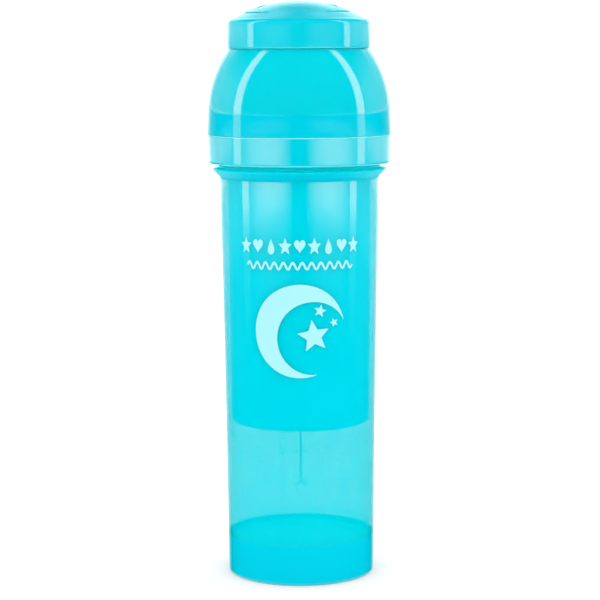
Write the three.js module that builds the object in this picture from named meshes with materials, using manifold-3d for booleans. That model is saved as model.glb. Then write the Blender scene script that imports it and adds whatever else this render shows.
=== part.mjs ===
// A 330 ml wide-neck baby bottle: bottle, screw collar, silicone teat, domed lid with its top disc,
// and what is kept inside the neck: a mixer net, a powder container and the container's lid.
// Units are millimetres. +Z is up, the origin is the centre of the base, and -Y is the printed front.
// Every piece is turned about the Z axis; the net, the threads and the grip are joined on as solids.

import * as THREE from 'three';
import { mergeVertices } from 'three/addons/utils/BufferGeometryUtils.js';
import Module from 'manifold-3d';

const wasm = await Module();
wasm.setup();

// ---------------------------------------------------------------- driving dimensions

const FACETS = 36; // flats round every turned surface
const GAP = 0.3; // running and seating clearance between pieces

const BASE_RADIUS = 28.45; // outside of the bottle at the base
const WALL_LEAN = 0.00734; // how the wall widens with height, the straight part
const WALL_BOW = 4.75e-5; // and the bowed part, per mm
const WALL = 1.7;
const FOOT_FILLET = 1.1;
const FOOT_INNER_RADIUS = 25.8; // inside of the foot ring that the bottle stands on
const FLOOR_TOP = 13;
const FLOOR_THICKNESS = 1.8;
const FLOOR_FILLET = 3;
const RECESS_FILLET = 2; // where the foot ring meets the underside of the floor
const RECESS_LEAN = 0.2;
const WALL_TOP = 155.2; // where the wall meets the flange

const FLANGE_RADIUS = 33.3; // thin drip flange under the collar
const FLANGE_TOP = 158.3;
const FLANGE_EDGE = 0.3;

const NECK_RADIUS = 31.25;
const NECK_BOTTOM = 159.2;
const RIM = 173.2;
const RIM_CHAMFER = 0.45;
const MOUTH_RADIUS = 29.5;

const THREAD_LEAD = 5; // rise of the collar in one turn
const THREAD_TURNS = 1.25;
const THREAD_START = 162.2; // height of the neck thread's centre line at angle 0
const THREAD_CREST = 1.35; // how far the neck thread stands out
const THREAD_BASE = 2;
const THREAD_TIP = 0.8;
const COLLAR_THREAD_DROP = 1.9; // the collar's thread lies this far under the neck's
const COLLAR_THREAD_LAG = 90; // degrees from the start of one thread to the start of the other
const COLLAR_THREAD_CREST = 1.5;

const COLLAR_BOTTOM = 160.3;
const COLLAR_TOP_RADIUS = 35.2;
const COLLAR_BEND = { radius: 35, z: 165 }; // the side is steeper above this height
const COLLAR_FOOT_RADIUS = 34.7;
const COLLAR_FOOT_FILLET = 0.8;
const COLLAR_TOP_FILLET = 0.5;
const LEAD_IN = 0.3; // chamfer at the foot of the collar's bore
const COLLAR_BORE = 33.25;
const SHOULDER = 171.3; // the step that the lid sits on
const SPIGOT_RADIUS = 33.2; // the collar's upper cylinder, inside the lid
const SPIGOT_TOP = 178.8;
const SPIGOT_FILLET = 0.6;
const SPIGOT_BORE = 31.8;
const COLLAR_HOLE = 27.4; // the teat stands through it
const COLLAR_ROOF = 1.3;

const SEAT_THICKNESS = 1; // flange of the powder container, on the rim
const NET_FLANGE = 0.8;
const TEAT_FLANGE = 1.3;
const SEAT_RADIUS = 30.9; // outside of the container's and the net's flanges

const TEAT_FLANGE_RADIUS = 31.3;
const TEAT_WAIST = 26.9;
const TEAT_BEAD = 27.9;
const TEAT_WALL = 1.8;
const TEAT_TIP = 216.2;
const TEAT_TIP_RADIUS = 7.6;
const FEED_HOLE_RADIUS = 0.5;
const VENT_RADIUS = 0.6;
const AREOLA = { r: 3, z: 176.5, radius: 24.1, fromDeg: 11, toDeg: 62 };
const VENT_DEG = 20; // how high on the areola the vents are
const FLARE = [[11.4, 199.6], [9.4, 202.2], [8.3, 205.4]]; // from the areola up into the nipple
const FLARE_INSIDE = [[6.5, 205], [7.8, 201.2], [10.2, 198.2]];

const LID_WALL = 1.6;
const LID_FOOT_RADIUS = 35.4;
const DOME_WAIST = 178; // the dome is upright below this height
const DOME_RADIUS = 35.05;
const DOME_CURVE = 44.5;
const DOME_CURVE_TOP = 200.5; // above it the dome rises more steeply, into its neck
const DOME_CEILING = 202.3; // the inside of the neck
const DOME_TOP = 203.9;
const DOME_NECK_RADIUS = 26.65;
const DOME_SPIGOT = { outer: 25.3, inner: 24.5, top: 209 };

const DISC_BOTTOM = DOME_TOP + GAP;
const DISC_RADIUS = 27.35;
const DISC_APEX = 222.1;
const CROWN_CURVE = 50;
const CROWN_EDGE_RADIUS = 25.4; // the crown turns into the disc's side here
const CROWN_FILLET = 2.1;
const DISC_SKIRT_BORE = 25.6;
const PLUG = { outer: 24.2, inner: 23, bottom: 200.6 };

const CUP_FOOT = 59.5; // lowest point of the powder container
const CUP_FOOT_RADIUS = 26.75;
const CUP_TOP_RADIUS = 27.6;
const CUP_WALL = 1.2;
const CUP_FILLET = 2;
const LEDGE = { radius: 25.2, bottom: 148.2, top: 150.5 };

const CUP_LID = { radius: 25.85, thickness: 1.4, skirtOuter: 24.85, skirtInner: 23.8, skirtBottom: 146 };
const GRIP = { length: 24, height: 7, thickness: 2.6 };

const NET = { outer: 25.2, inner: 24.1, bottom: 163, floor: 1.5 };
const NET_BAR = 1.3;
const NET_PITCH = 6;
const NET_BARS_EACH_SIDE = 3;

// ---------------------------------------------------------------- helpers

const radians = THREE.MathUtils.degToRad;

/** Points [r, z] along a round stretch, from one angle to another in degrees. */
function arc(r, z, radius, fromDeg, toDeg, steps) {
  const points = [];
  for (let i = 0; i <= steps; i += 1) {
    const angle = radians(fromDeg + ((toDeg - fromDeg) * i) / steps);
    points.push([r + radius * Math.cos(angle), z + radius * Math.sin(angle)]);
  }
  return points;
}

/** A rounded outer edge at [r, z]: a lower edge, or an upper one if the fillet is negative. */
function roundEdge(r, z, fillet, steps) {
  const size = Math.abs(fillet);
  const [from, to] = fillet > 0 ? [-90, 0] : [0, 90];
  return arc(r - size, z + fillet, size, from, to, steps);
}

/** Points [r, z] along a wall whose radius is a function of height. */
function wall(radiusAt, fromZ, toZ, steps) {
  const points = [];
  for (let i = 0; i <= steps; i += 1) {
    const z = fromZ + ((toZ - fromZ) * i) / steps;
    points.push([radiusAt(z), z]);
  }
  return points;
}

/** A turned solid. The profile runs anticlockwise in the (r, z) plane: up outside, down inside. */
function turned(profile, facets = FACETS) {
  const points = profile.map(([r, z]) => new THREE.Vector2(r, z));
  const onAxis = points[0].x === 0 && points.at(-1).x === 0;
  if (!onAxis) points.push(points[0].clone());
  return new THREE.LatheGeometry(points, facets).rotateX(Math.PI / 2);
}

/** The geometry with only its positions, shared corners merged and no flat triangles. */
function welded(geometry) {
  const bare = geometry.clone();
  bare.deleteAttribute('normal');
  bare.deleteAttribute('uv');
  const merged = mergeVertices(bare, 1e-4);
  const kept = [];
  const { array } = merged.index;
  for (let i = 0; i < array.length; i += 3) {
    const [a, b, c] = array.slice(i, i + 3);
    if (a !== b && b !== c && c !== a) kept.push(a, b, c);
  }
  merged.setIndex(kept);
  return merged;
}

function toSolid(geometry) {
  const merged = welded(geometry);
  const mesh = new wasm.Mesh({
    numProp: 3,
    vertProperties: new Float32Array(merged.attributes.position.array),
    triVerts: new Uint32Array(merged.index.array),
  });
  return new wasm.Manifold(mesh);
}

function toGeometry(solid) {
  const { vertProperties, triVerts } = solid.getMesh();
  const geometry = new THREE.BufferGeometry();
  geometry.setAttribute('position', new THREE.BufferAttribute(vertProperties, 3));
  geometry.setIndex(new THREE.BufferAttribute(triVerts, 1));
  geometry.computeVertexNormals();
  return geometry;
}

/** A closed box given by its lowest and highest corner. */
function box(low, high) {
  const size = high.map((v, i) => v - low[i]);
  const middle = high.map((v, i) => (v + low[i]) / 2);
  return new THREE.BoxGeometry(...size).translate(...middle);
}

/**
 * A thread: a trapezoid bar wrapped round the axis along a right-hand helix. It stands out of a
 * wall of radius rootRadius by crest, inwards if crest is negative, and sinks into it at both ends.
 */
function thread(rootRadius, crest, startDeg, startZ) {
  const ROOTED = 0.4; // how deep the bar's back lies in the wall
  const FADE = 0.06; // share of the thread over which each end fades
  const back = -Math.sign(crest) * ROOTED;
  const section = new THREE.Shape([
    new THREE.Vector2(-THREAD_BASE / 2, back),
    new THREE.Vector2(THREAD_BASE / 2, back),
    new THREE.Vector2(THREAD_TIP / 2, crest),
    new THREE.Vector2(-THREAD_TIP / 2, crest),
  ]);
  const steps = Math.round(FACETS * THREAD_TURNS);
  const bar = new THREE.ExtrudeGeometry(section, { depth: 1, steps, bevelEnabled: false });
  const { position } = bar.attributes;
  for (let i = 0; i < position.count; i += 1) {
    const share = position.getZ(i);
    const fade = Math.min(1, share / FADE, (1 - share) / FADE);
    const rooted = Math.sign(position.getY(i)) === Math.sign(back);
    const height = rooted ? back : THREE.MathUtils.lerp(back / 2, crest, fade);
    const angle = radians(startDeg) + share * THREAD_TURNS * 2 * Math.PI;
    const radius = rootRadius + height;
    const z = startZ + share * THREAD_TURNS * THREAD_LEAD + position.getX(i);
    position.setXYZ(i, radius * Math.cos(angle), radius * Math.sin(angle), z);
  }
  return bar;
}

function plastic(name, color, roughness, opacity = 1) {
  return new THREE.MeshStandardMaterial({
    name,
    color,
    roughness,
    metalness: 0,
    opacity,
    transparent: opacity < 1,
  });
}

function piece(name, geometry, material) {
  const mesh = new THREE.Mesh(geometry, material);
  mesh.name = name;
  return mesh;
}

// ---------------------------------------------------------------- bottle

const bottleRadius = (z) => BASE_RADIUS + WALL_LEAN * z + WALL_BOW * z * z;

function bottleProfile() {
  const underFloor = FLOOR_TOP - FLOOR_THICKNESS;
  const recessRadius = FOOT_INNER_RADIUS - RECESS_LEAN;
  const innerAtFloor = bottleRadius(FLOOR_TOP + FLOOR_FILLET) - WALL;
  const wallTopRadius = bottleRadius(WALL_TOP);
  return [
    [0, underFloor],
    ...arc(recessRadius - RECESS_FILLET, underFloor - RECESS_FILLET, RECESS_FILLET, 90, 0, 3),
    [FOOT_INNER_RADIUS, 0],
    ...roundEdge(BASE_RADIUS, 0, FOOT_FILLET, 3),
    ...wall(bottleRadius, 31, WALL_TOP, 4),
    [FLANGE_RADIUS, FLANGE_TOP - FLANGE_EDGE],
    [FLANGE_RADIUS, FLANGE_TOP],
    [NECK_RADIUS + 0.5, FLANGE_TOP + 0.3],
    [NECK_RADIUS, NECK_BOTTOM],
    [NECK_RADIUS, RIM - RIM_CHAMFER],
    [NECK_RADIUS - RIM_CHAMFER, RIM],
    [MOUTH_RADIUS, RIM],
    [wallTopRadius - WALL, WALL_TOP],
    ...wall((z) => bottleRadius(z) - WALL, 124, 31, 3),
    ...arc(innerAtFloor - FLOOR_FILLET, FLOOR_TOP + FLOOR_FILLET, FLOOR_FILLET, 0, -90, 3),
    [0, FLOOR_TOP],
  ];
}

function bottleBody() {
  const shell = toSolid(turned(bottleProfile()));
  const ridge = toSolid(thread(NECK_RADIUS, THREAD_CREST, 0, THREAD_START));
  return toGeometry(shell.add(ridge));
}

// ---------------------------------------------------------------- screw collar

function collarProfile() {
  const thickRing = [
    [COLLAR_BORE + LEAD_IN, COLLAR_BOTTOM],
    ...roundEdge(COLLAR_FOOT_RADIUS, COLLAR_BOTTOM, COLLAR_FOOT_FILLET, 3),
    [COLLAR_BEND.radius, COLLAR_BEND.z],
    ...roundEdge(COLLAR_TOP_RADIUS, SHOULDER, -COLLAR_TOP_FILLET, 2),
  ];
  const spigot = [
    [SPIGOT_RADIUS, SHOULDER],
    ...roundEdge(SPIGOT_RADIUS, SPIGOT_TOP, -SPIGOT_FILLET, 2),
    [COLLAR_HOLE, SPIGOT_TOP],
    [COLLAR_HOLE, SPIGOT_TOP - COLLAR_ROOF],
    [SPIGOT_BORE, SPIGOT_TOP - COLLAR_ROOF],
  ];
  const bore = [
    [SPIGOT_BORE, SHOULDER - 0.2],
    [COLLAR_BORE, SHOULDER - 1.2],
    [COLLAR_BORE, COLLAR_BOTTOM + LEAD_IN],
  ];
  return [...thickRing, ...spigot, ...bore];
}

function screwCollar() {
  const shell = toSolid(turned(collarProfile()));
  const startZ = THREAD_START - COLLAR_THREAD_DROP + (THREAD_LEAD * COLLAR_THREAD_LAG) / 360;
  const ridge = toSolid(thread(COLLAR_BORE, -COLLAR_THREAD_CREST, COLLAR_THREAD_LAG, startZ));
  return toGeometry(shell.add(ridge));
}

// ---------------------------------------------------------------- teat

const seatTop = RIM + GAP + SEAT_THICKNESS;
const netFlangeTop = seatTop + GAP + NET_FLANGE;
const teatBottom = netFlangeTop + GAP;

function teatProfile() {
  const flangeTop = teatBottom + TEAT_FLANGE;
  const beadBottom = SPIGOT_TOP + GAP;
  const { r, z, radius, fromDeg, toDeg } = AREOLA;
  const tipCentre = TEAT_TIP - TEAT_TIP_RADIUS;
  const flange = [
    [TEAT_WAIST - TEAT_WALL, teatBottom],
    [TEAT_FLANGE_RADIUS, teatBottom],
    [TEAT_FLANGE_RADIUS, flangeTop],
    [TEAT_WAIST, flangeTop],
    [TEAT_WAIST, beadBottom],
    [TEAT_BEAD, beadBottom + 0.2],
    [TEAT_BEAD, beadBottom + 1],
  ];
  const outside = [
    ...arc(r, z, radius, fromDeg, toDeg, 5),
    ...FLARE,
    ...arc(FEED_HOLE_RADIUS, tipCentre, TEAT_TIP_RADIUS, 0, 90, 4),
  ];
  const inside = [
    ...arc(FEED_HOLE_RADIUS, tipCentre, TEAT_TIP_RADIUS - TEAT_WALL, 90, 0, 3),
    ...FLARE_INSIDE,
    ...arc(r, z, radius - TEAT_WALL, toDeg, fromDeg, 4),
  ];
  return [...flange, ...outside, ...inside];
}

/** The vents: two pin holes low in the areola that let air in behind the milk. */
function teatVents() {
  const middle = AREOLA.radius - TEAT_WALL / 2;
  const slope = radians(VENT_DEG);
  const drill = new THREE.CylinderGeometry(VENT_RADIUS, VENT_RADIUS, 3 * TEAT_WALL, 8);
  drill.rotateZ(slope - Math.PI / 2);
  drill.rotateX(Math.PI / 2);
  const across = AREOLA.r + middle * Math.cos(slope);
  const height = AREOLA.z + middle * Math.sin(slope);
  const right = drill.clone().translate(across, 0, height);
  const left = right.clone().rotateZ(Math.PI);
  return [right, left];
}

function teat() {
  const [right, left] = teatVents().map(toSolid);
  return toGeometry(toSolid(turned(teatProfile())).subtract(right).subtract(left));
}

// ---------------------------------------------------------------- lid

function domeProfile() {
  const centreR = DOME_RADIUS - DOME_CURVE;
  const domeRadius = (curve) => (z) => centreR + Math.sqrt(curve ** 2 - (z - DOME_WAIST) ** 2);
  const foot = SHOULDER + GAP;
  const outside = [
    [LID_FOOT_RADIUS - 0.4, foot],
    [LID_FOOT_RADIUS, foot + 0.4],
    ...wall(domeRadius(DOME_CURVE), DOME_WAIST, DOME_CURVE_TOP, 6),
    [DOME_NECK_RADIUS + 0.5, DOME_TOP - 1.2],
    [DOME_NECK_RADIUS, DOME_TOP],
  ];
  const spigot = [
    [DOME_SPIGOT.outer, DOME_TOP],
    [DOME_SPIGOT.outer, DOME_SPIGOT.top],
    [DOME_SPIGOT.inner, DOME_SPIGOT.top],
    [DOME_SPIGOT.inner, DOME_CEILING],
  ];
  const inside = [
    ...wall(domeRadius(DOME_CURVE - LID_WALL), DOME_CEILING, DOME_WAIST, 6),
    [LID_FOOT_RADIUS - LID_WALL, foot + 0.4],
    [LID_FOOT_RADIUS - LID_WALL, foot],
  ];
  return [...outside, ...spigot, ...inside];
}

function discProfile() {
  const crownAt = (curve, drop) => (r) => DISC_APEX - drop - curve + Math.sqrt(curve ** 2 - r ** 2);
  const crown = crownAt(CROWN_CURVE, 0);
  const ceiling = crownAt(CROWN_CURVE, LID_WALL);
  const edgeZ = crown(CROWN_EDGE_RADIUS);
  const crownPoints = [20.5, 15.5, 10.5, 5].map((r) => [r, crown(r)]);
  const ceilingPoints = [7.5, 15.5].map((r) => [r, ceiling(r)]);
  return [
    [0, ceiling(0)],
    ...ceilingPoints,
    [PLUG.inner, ceiling(PLUG.inner)],
    [PLUG.inner, PLUG.bottom],
    [PLUG.outer, PLUG.bottom],
    [PLUG.outer, ceiling(PLUG.outer)],
    [DISC_SKIRT_BORE, ceiling(DISC_SKIRT_BORE) - 0.6],
    [DISC_SKIRT_BORE, DISC_BOTTOM],
    [DISC_RADIUS - 0.5, DISC_BOTTOM],
    [DISC_RADIUS, DISC_BOTTOM + 0.5],
    ...arc(DISC_RADIUS - CROWN_FILLET, edgeZ - 1.95, CROWN_FILLET, 0, 68, 4),
    ...crownPoints,
    [0, DISC_APEX],
  ];
}

// ---------------------------------------------------------------- powder container and its lid

function cupRadius(z) {
  const share = (z - CUP_FOOT) / (seatTop - CUP_FOOT);
  return THREE.MathUtils.lerp(CUP_FOOT_RADIUS, CUP_TOP_RADIUS, share);
}

function powderContainerProfile() {
  const inner = (z) => cupRadius(z) - CUP_WALL;
  const floor = CUP_FOOT + CUP_WALL;
  const fillet = CUP_FILLET - CUP_WALL / 2;
  return [
    [0, CUP_FOOT],
    ...arc(CUP_FOOT_RADIUS - CUP_FILLET, CUP_FOOT + CUP_FILLET, CUP_FILLET, -90, 0, 3),
    [cupRadius(RIM + GAP), RIM + GAP],
    [SEAT_RADIUS, RIM + GAP],
    [SEAT_RADIUS, seatTop],
    [inner(seatTop), seatTop],
    [inner(LEDGE.top), LEDGE.top],
    [LEDGE.radius, LEDGE.top],
    [LEDGE.radius, LEDGE.top - 1],
    [inner(LEDGE.bottom), LEDGE.bottom],
    ...arc(inner(floor + fillet) - fillet, floor + fillet, fillet, 0, -90, 2),
    [0, floor],
  ];
}

function containerLidProfile() {
  const bottom = LEDGE.top + GAP;
  return [
    [0, bottom],
    [CUP_LID.skirtInner, bottom],
    [CUP_LID.skirtInner, CUP_LID.skirtBottom],
    [CUP_LID.skirtOuter - 0.3, CUP_LID.skirtBottom],
    [CUP_LID.skirtOuter, CUP_LID.skirtBottom + 0.6],
    [CUP_LID.skirtOuter, bottom],
    [CUP_LID.radius, bottom],
    [CUP_LID.radius, bottom + CUP_LID.thickness],
    [0, bottom + CUP_LID.thickness],
  ];
}

/** An upright grip with a rounded top, across the middle of the container's lid. */
function gripTab() {
  const foot = LEDGE.top + GAP + CUP_LID.thickness / 2;
  const half = GRIP.length / 2;
  const corner = 4;
  const outline = new THREE.Shape();
  outline.moveTo(-half, 0);
  outline.lineTo(half, 0);
  outline.lineTo(half, GRIP.height - corner);
  outline.absarc(half - corner, GRIP.height - corner, corner, 0, Math.PI / 2, false);
  outline.absarc(corner - half, GRIP.height - corner, corner, Math.PI / 2, Math.PI, false);
  outline.closePath();
  const options = { depth: GRIP.thickness, bevelEnabled: false, curveSegments: 4 };
  const tab = new THREE.ExtrudeGeometry(outline, options);
  return tab.translate(0, 0, -GRIP.thickness / 2).rotateX(Math.PI / 2).translate(0, 0, foot);
}

function powderContainerLid() {
  return toGeometry(toSolid(turned(containerLidProfile())).add(toSolid(gripTab())));
}

// ---------------------------------------------------------------- mixer net

function netRingProfile() {
  const flangeBottom = seatTop + GAP;
  return [
    [NET.inner, NET.bottom],
    [NET.outer, NET.bottom],
    [NET.outer, flangeBottom],
    [SEAT_RADIUS, flangeBottom],
    [SEAT_RADIUS, netFlangeTop],
    [NET.inner, netFlangeTop],
  ];
}

/** Bars across the net's floor, in one direction; they end inside the net's round wall. */
function netBars(turn) {
  const bars = [];
  const reach = (NET.inner + NET.outer) / 2;
  for (let i = -NET_BARS_EACH_SIDE; i <= NET_BARS_EACH_SIDE; i += 1) {
    const y = i * NET_PITCH;
    const half = Math.sqrt(reach ** 2 - (Math.abs(y) + NET_BAR) ** 2);
    const low = [-half, y - NET_BAR / 2, NET.bottom];
    const high = [half, y + NET_BAR / 2, NET.bottom + NET.floor];
    bars.push(toSolid(box(low, high).rotateZ(turn)));
  }
  return bars;
}

function mixerNet() {
  let net = toSolid(turned(netRingProfile()));
  for (const bar of [...netBars(0), ...netBars(Math.PI / 2)]) net = net.add(bar);
  return toGeometry(net);
}

// ---------------------------------------------------------------- materials

const materials = {
  tintedBottle: () => plastic('tinted_bottle', '#2fd3ee', 0.16, 0.55),
  collar: () => plastic('collar_plastic', '#5bdceb', 0.32),
  silicone: () => plastic('silicone', '#eef6f7', 0.4, 0.7),
  lid: () => plastic('lid_plastic', '#1fd5e8', 0.2, 0.8),
  disc: () => plastic('disc_plastic', '#4adcea', 0.3),
  inner: () => plastic('inner_plastic', '#12cfe8', 0.35),
  net: () => plastic('net_plastic', '#f3f6f6', 0.4),
};

// ---------------------------------------------------------------- the bottle, put together

const babyBottle = new THREE.Group();
babyBottle.add(
  piece('bottle_body', bottleBody(), materials.tintedBottle()),
  piece('powder_container', turned(powderContainerProfile()), materials.inner()),
  piece('powder_container_lid', powderContainerLid(), materials.inner()),
  piece('mixer_net', mixerNet(), materials.net()),
  piece('teat', teat(), materials.silicone()),
  piece('screw_collar', screwCollar(), materials.collar()),
  piece('lid_dome', turned(domeProfile()), materials.lid()),
  piece('lid_top_disc', turned(discProfile()), materials.disc()),
);

export default babyBottle;
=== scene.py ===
"""A 330 ml wide-neck baby bottle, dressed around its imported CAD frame.

Outlines are in millimetres, as (radius, height) pairs round the Z axis, and are scaled to metres as each mesh
is made. -Y is the printed front and +Y is the side with the volume scale.
"""

import math

import bmesh
import bpy
from mathutils import Euler, Matrix, Vector


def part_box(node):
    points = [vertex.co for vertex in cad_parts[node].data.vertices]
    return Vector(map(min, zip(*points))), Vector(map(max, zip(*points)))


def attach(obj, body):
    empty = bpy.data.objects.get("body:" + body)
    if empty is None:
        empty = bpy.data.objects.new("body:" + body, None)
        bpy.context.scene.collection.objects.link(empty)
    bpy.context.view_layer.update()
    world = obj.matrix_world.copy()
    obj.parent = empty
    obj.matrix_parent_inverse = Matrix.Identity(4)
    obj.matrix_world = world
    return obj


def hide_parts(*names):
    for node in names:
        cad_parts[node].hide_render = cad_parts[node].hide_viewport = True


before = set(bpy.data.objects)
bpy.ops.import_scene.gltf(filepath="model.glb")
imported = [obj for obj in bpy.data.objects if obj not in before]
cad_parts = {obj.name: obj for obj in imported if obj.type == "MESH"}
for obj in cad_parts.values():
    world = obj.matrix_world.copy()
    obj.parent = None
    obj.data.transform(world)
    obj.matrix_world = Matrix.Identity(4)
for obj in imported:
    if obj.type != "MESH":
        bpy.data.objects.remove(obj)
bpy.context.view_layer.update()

MM = 0.001
TURNED_STEPS = 192  # faces round every turned piece


def reach(node):
    """A turned node's lowest and highest point and its radius, in millimetres."""
    low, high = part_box(node)
    return low[2] / MM, high[2] / MM, high[0] / MM


FOOT, RIM, FLANGE_RADIUS = reach("bottle_body")
CUP_FOOT, CUP_TOP, SEAT_RADIUS = reach("powder_container")
CUP_LID_FOOT, CUP_LID_TOP, CUP_LID_RADIUS = reach("powder_container_lid")
NET_FOOT, NET_TOP, _ = reach("mixer_net")
TEAT_FOOT, TEAT_TIP, TEAT_FLANGE_RADIUS = reach("teat")
COLLAR_FOOT, SPIGOT_TOP, COLLAR_RADIUS = reach("screw_collar")
DOME_FOOT, DOME_SPIGOT_TOP, DOME_RADIUS = reach("lid_dome")
PLUG_FOOT, APEX, DISC_RADIUS = reach("lid_top_disc")

# ---------------------------------------------------------------- outlines


def arc(r, z, radius, start, end, steps):
    """Points along a round stretch, from one angle to another in degrees."""
    angles = [math.radians(start + (end - start) * i / steps) for i in range(steps + 1)]
    return [(r + radius * math.cos(a), z + radius * math.sin(a)) for a in angles]


def wall(radius_at, low, high, steps):
    """Points along a wall whose radius is a function of height."""
    heights = [low + (high - low) * i / steps for i in range(steps + 1)]
    return [(radius_at(z), z) for z in heights]


FILLET_STEPS = 4
MOST_OF_SIDE = 0.48  # a fillet takes just under half of the side beside it at most


def rounded(corners):
    """A closed outline with its corners eased: each corner is (r, z) or (r, z, fillet radius)."""
    points = []
    count = len(corners)
    for i, corner in enumerate(corners):
        here = Vector(corner[:2])
        fillet = corner[2] if len(corner) > 2 else 0
        before = Vector(corners[i - 1][:2]) - here
        after = Vector(corners[(i + 1) % count][:2]) - here
        if fillet == 0 or here.x == 0:
            points.append(tuple(here))
            continue
        half = before.angle(after) / 2
        back = min(fillet / math.tan(half), before.length * MOST_OF_SIDE, after.length * MOST_OF_SIDE)
        start, end = here + before.normalized() * back, here + after.normalized() * back
        for k in range(FILLET_STEPS + 1):
            t = k / FILLET_STEPS
            points.append(tuple(start * (1 - t) ** 2 + here * 2 * t * (1 - t) + end * t**2))
    return held(points)


HOLD = 0.2  # millimetres from a bend to the point that keeps the straight beside it flat
LONG_STRAIGHT = 1.2
BEND = math.radians(3)  # the least turn that counts as a bend


def held(outline):
    """The closed outline with a point close to each bend of its longer straights, so that they shade flat."""
    points = []
    count = len(outline)
    for i in range(count):
        before, start, end, after = (Vector(outline[(i + k) % count]) for k in (-1, 0, 1, 2))
        points.append(tuple(start))
        run = end - start
        if run.length < LONG_STRAIGHT or (start.x == 0 and end.x == 0):
            continue
        margin = run.normalized() * HOLD
        if run.angle(start - before, 0) > BEND:
            points.append(tuple(start + margin))
        if run.angle(after - end, 0) > BEND:
            points.append(tuple(end - margin))
    return points


# ---------------------------------------------------------------- mesh building


SHARP = math.radians(32)


def finished(name, bm, material):
    """A smooth-shaded object from a bmesh, with its sharper edges kept crisp."""
    bmesh.ops.recalc_face_normals(bm, faces=bm.faces)
    for face in bm.faces:
        face.smooth = True
    for edge in bm.edges:
        edge.smooth = len(edge.link_faces) != 2 or edge.calc_face_angle() < SHARP
    mesh = bpy.data.meshes.new(name)
    bm.to_mesh(mesh)
    bm.free()
    mesh.materials.append(material)
    piece = bpy.data.objects.new(name, mesh)
    bpy.context.scene.collection.objects.link(piece)
    return piece


def turned_bmesh(outline, relief=None, around=TURNED_STEPS):
    """The closed outline turned about the Z axis; relief(r, z, angle) may move a point."""
    bm = bmesh.new()
    rings = []
    for r, z in outline:
        if r < 1e-6:
            rings.append([bm.verts.new((0, 0, z * MM))] * around)
            continue
        ring = []
        for k in range(around):
            angle = 2 * math.pi * k / around
            rr, zz = relief(r, z, angle) if relief else (r, z)
            at = (rr * MM * math.cos(angle), rr * MM * math.sin(angle), zz * MM)
            ring.append(bm.verts.new(at))
        rings.append(ring)
    for i, ring in enumerate(rings):
        above = rings[(i + 1) % len(rings)]
        if ring[0] is ring[1] and above[0] is above[1]:
            continue
        for k in range(around):
            n = (k + 1) % around
            corners = [ring[k], ring[n], above[n], above[k]]
            bm.faces.new(list(dict.fromkeys(corners)))
    return bm


def turned(name, outline, material, relief=None):
    return finished(name, turned_bmesh(outline, relief), material)


def dress(piece, materials, choose):
    """Give each face one of the materials: choose takes its radius and height in millimetres, and its
    normal, and returns the material."""
    piece.data.materials.clear()
    for material in materials:
        piece.data.materials.append(material)
    for face in piece.data.polygons:
        middle = face.center
        chosen = choose(math.hypot(middle.x, middle.y) / MM, middle.z / MM, face.normal)
        face.material_index = materials.index(chosen)


def cut_or_joined(bm, tools, operation):
    """The bmesh with the tool bmeshes cut from it or joined to it."""
    holder = bpy.data.objects.new("work", bpy.data.meshes.new("work"))
    bpy.context.scene.collection.objects.link(holder)
    bm.to_mesh(holder.data)
    bm.free()
    helpers = []
    for tool in tools:
        helper = bpy.data.objects.new("tool", bpy.data.meshes.new("tool"))
        bpy.context.scene.collection.objects.link(helper)
        bmesh.ops.recalc_face_normals(tool, faces=tool.faces)
        tool.to_mesh(helper.data)
        tool.free()
        helpers.append(helper)
        modifier = holder.modifiers.new("solid", "BOOLEAN")
        modifier.operation = operation
        modifier.solver = "EXACT"
        modifier.object = helper
    result = bmesh.new()
    result.from_object(holder, bpy.context.evaluated_depsgraph_get())
    for old in [holder, *helpers]:
        mesh = old.data
        bpy.data.objects.remove(old)
        bpy.data.meshes.remove(mesh)
    return result


def bar(low, high, bevel, turn=0.0):
    """A box with eased edges, given by its corners in millimetres and turned about the Z axis."""
    bm = bmesh.new()
    bmesh.ops.create_cube(bm, size=1)
    for v in bm.verts:
        v.co = Vector((low[i] + (high[i] - low[i]) * (v.co[i] + 0.5)) * MM for i in range(3))
    bmesh.ops.bevel(bm, geom=bm.edges[:], offset=bevel * MM, segments=2, affect="EDGES")
    bmesh.ops.rotate(bm, verts=bm.verts, matrix=Matrix.Rotation(turn, 3, "Z"))
    return bm


# ---------------------------------------------------------------- materials


def node(tree, kind, **inputs):
    made = tree.nodes.new(kind)
    for key, value in inputs.items():
        made.inputs[key.replace("_", " ")].default_value = value
    return made


CLOUD_SCALE, CLOUD_SHADE = 45, 0.975
RUB_SCALE, RUB_STRETCH = 420, (1, 1, 0.12)
SCUFFS = 0.05  # how much rougher the plastic is where it is rubbed
SKIN_DEPTH = 0.05 * MM


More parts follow.
